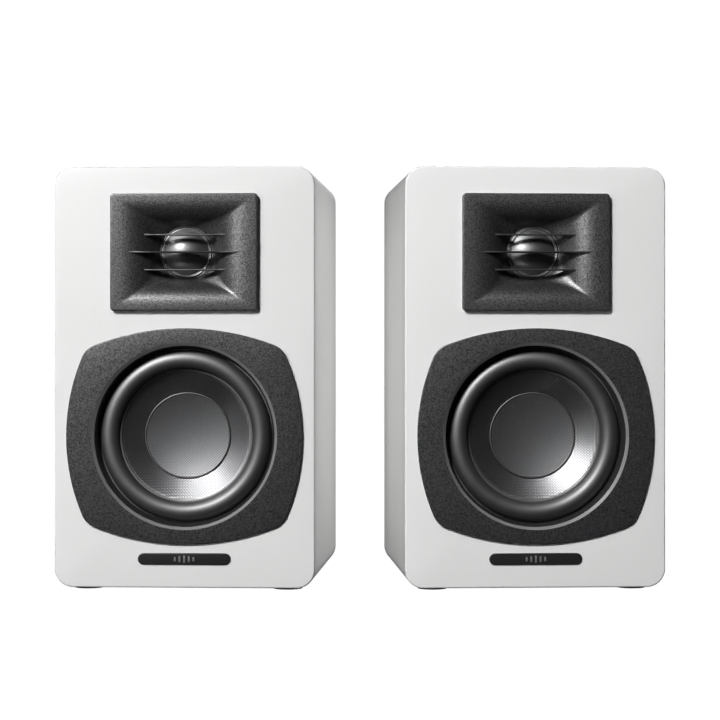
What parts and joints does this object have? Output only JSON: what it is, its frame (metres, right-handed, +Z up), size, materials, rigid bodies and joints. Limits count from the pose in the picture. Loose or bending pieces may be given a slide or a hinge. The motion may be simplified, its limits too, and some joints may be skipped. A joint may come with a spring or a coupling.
{
  "type": "desktop speakers",
  "caption": "Pair of compact two-way desktop speakers with horn-loaded dome tweeters, woofers in bowed trims, rear bass ports and spring wire terminals; the right-hand one holds the amplifier.",
  "frame": {"origin": "bottom centre of the pair, on the table between the two speakers", "axes": "+X to the right as seen from the front, +Y to the rear, +Z up; the fronts face -Y, each turned outwards by 3.5 degrees"},
  "size_m": [0.3274, 0.1714, 0.2265],
  "materials": {
    "white_paint": "satin white paint over board",
    "black_board": "black vinyl-wrapped board",
    "foot_rubber": "matte rubber",
    "badge_black": "satin black plate",
    "port_plastic": "matte",
    "screw_steel": "black zinc",
    "horn_plastic": "fine spark-textured moulding",
    "vane_plastic": "smooth satin moulding",
    "ring_plastic": "satin",
    "dome_silk": "coated silk",
    "copper_wire": "enamelled wire",
    "zinc_steel": "zinc plated",
    "trim_plastic": "fine spark-textured moulding",
    "basket_steel": "black coat",
    "surround_rubber": "satin butyl rubber",
    "cone_weave": "woven, coated",
    "spider_cloth": "resin-dipped cloth",
    "ferrite": "bare ferrite",
    "terminal_plastic": "matte",
    "red_plastic": "satin",
    "black_plastic": "satin",
    "panel_aluminium": "black anodised",
    "circuit_board": "solder mask",
    "knob_plastic": "fluted",
    "button_plastic": "satin",
    "light_lens": "frosted",
    "nickel": "nickel plated",
    "socket_plastic": "matte"
  },
  "bodies": {
    "right_speaker": {"right_cabinet": "white_paint", "right_baffle": "white_paint", "right_rear_panel": "black_board", "right_feet": "foot_rubber", "right_badge": "badge_black", "right_port_tube": "port_plastic", "right_screws": "screw_steel", "right_horn": "horn_plastic", "right_horn_vanes": "vane_plastic", "right_tweeter_ring": "ring_plastic", "right_tweeter_magnet": "zinc_steel", "right_woofer_trim": "trim_plastic", "right_woofer_basket": "basket_steel", "right_woofer_surround": "surround_rubber", "right_spider": "spider_cloth", "right_woofer_magnet": "ferrite", "right_woofer_yoke": "zinc_steel", "right_terminal_base": "terminal_plastic", "amp_panel": "panel_aluminium", "amp_board": "circuit_board", "potentiometer": "zinc_steel", "status_light": "light_lens", "phono_sockets": "nickel", "jack_socket": "socket_plastic", "power_socket": "socket_plastic"},
    "right_tweeter_motion": {"right_tweeter_dome": "dome_silk", "right_tweeter_coil": "copper_wire"},
    "right_woofer_motion": {"right_woofer_cone": "cone_weave", "right_dust_cap": "cone_weave", "right_woofer_coil": "copper_wire"},
    "right_red_lever": {"right_red_lever": "red_plastic"},
    "right_black_lever": {"right_black_lever": "black_plastic"},
    "left_speaker": {"left_cabinet": "white_paint", "left_baffle": "white_paint", "left_rear_panel": "black_board", "left_feet": "foot_rubber", "left_badge": "badge_black", "left_port_tube": "port_plastic", "left_screws": "screw_steel", "left_horn": "horn_plastic", "left_horn_vanes": "vane_plastic", "left_tweeter_ring": "ring_plastic", "left_tweeter_magnet": "zinc_steel", "left_woofer_trim": "trim_plastic", "left_woofer_basket": "basket_steel", "left_woofer_surround": "surround_rubber", "left_spider": "spider_cloth", "left_woofer_magnet": "ferrite", "left_woofer_yoke": "zinc_steel", "left_terminal_base": "terminal_plastic"},
    "left_tweeter_motion": {"left_tweeter_dome": "dome_silk", "left_tweeter_coil": "copper_wire"},
    "left_woofer_motion": {"left_woofer_cone": "cone_weave", "left_dust_cap": "cone_weave", "left_woofer_coil": "copper_wire"},
    "left_red_lever": {"left_red_lever": "red_plastic"},
    "left_black_lever": {"left_black_lever": "black_plastic"},
    "volume_knob": {"knob_shaft": "zinc_steel", "volume_knob": "knob_plastic"},
    "pair_button": {"pair_button": "button_plastic"}
  },
  "joints": [
    {"name": "left_speaker_spacing", "type": "slide", "parent": "right_speaker", "child": "left_speaker", "axis": [-1, 0, 0], "range_m": [0, 0.2]},
    {"name": "right_woofer_travel", "type": "slide", "parent": "right_speaker", "child": "right_woofer_motion", "axis": [0.061, -0.9981, 0], "range_m": [-0.003, 0.003], "stiffness_N_per_m": 1000, "deforming": ["right_woofer_surround", "right_spider"]},
    {"name": "right_tweeter_travel", "type": "slide", "parent": "right_speaker", "child": "right_tweeter_motion", "axis": [0.061, -0.9981, 0], "range_m": [-0.0003, 0.0003], "stiffness_N_per_m": 1500},
    {"name": "right_red_lever_press", "type": "hinge", "parent": "right_speaker", "child": "right_red_lever", "pos_m": [0.10949, 0.07444, 0.0436], "axis": [0.9981, 0.061, 0], "range_deg": [0, 20], "stiffness_Nm_per_rad": 0.05},
    {"name": "right_black_lever_press", "type": "hinge", "parent": "right_speaker", "child": "right_black_lever", "pos_m": [0.09152, 0.07334, 0.0436], "axis": [0.9981, 0.061, 0], "range_deg": [0, 20], "stiffness_Nm_per_rad": 0.05},
    {"name": "left_woofer_travel", "type": "slide", "parent": "left_speaker", "child": "left_woofer_motion", "axis": [-0.061, -0.9981, 0], "range_m": [-0.003, 0.003], "stiffness_N_per_m": 1000, "deforming": ["left_woofer_surround", "left_spider"]},
    {"name": "left_tweeter_travel", "type": "slide", "parent": "left_speaker", "child": "left_tweeter_motion", "axis": [-0.061, -0.9981, 0], "range_m": [-0.0003, 0.0003], "stiffness_N_per_m": 1500},
    {"name": "left_red_lever_press", "type": "hinge", "parent": "left_speaker", "child": "left_red_lever", "pos_m": [-0.07564, 0.07087, 0.0355], "axis": [0.9981, -0.061, 0], "range_deg": [0, 20], "stiffness_Nm_per_rad": 0.05},
    {"name": "left_black_lever_press", "type": "hinge", "parent": "left_speaker", "child": "left_black_lever", "pos_m": [-0.09361, 0.07197, 0.0355], "axis": [0.9981, -0.061, 0], "range_deg": [0, 20], "stiffness_Nm_per_rad": 0.05},
    {"name": "volume_turn", "type": "hinge", "parent": "right_speaker", "child": "volume_knob", "pos_m": [0.04772, 0.08509, 0.1066], "axis": [-0.061, 0.9981, 0], "range_deg": [-150, 150]},
    {"name": "pair_button_press", "type": "slide", "parent": "right_speaker", "child": "pair_button", "axis": [0.061, -0.9981, 0], "range_m": [0, 0.001], "stiffness_N_per_m": 1500}
  ]
}
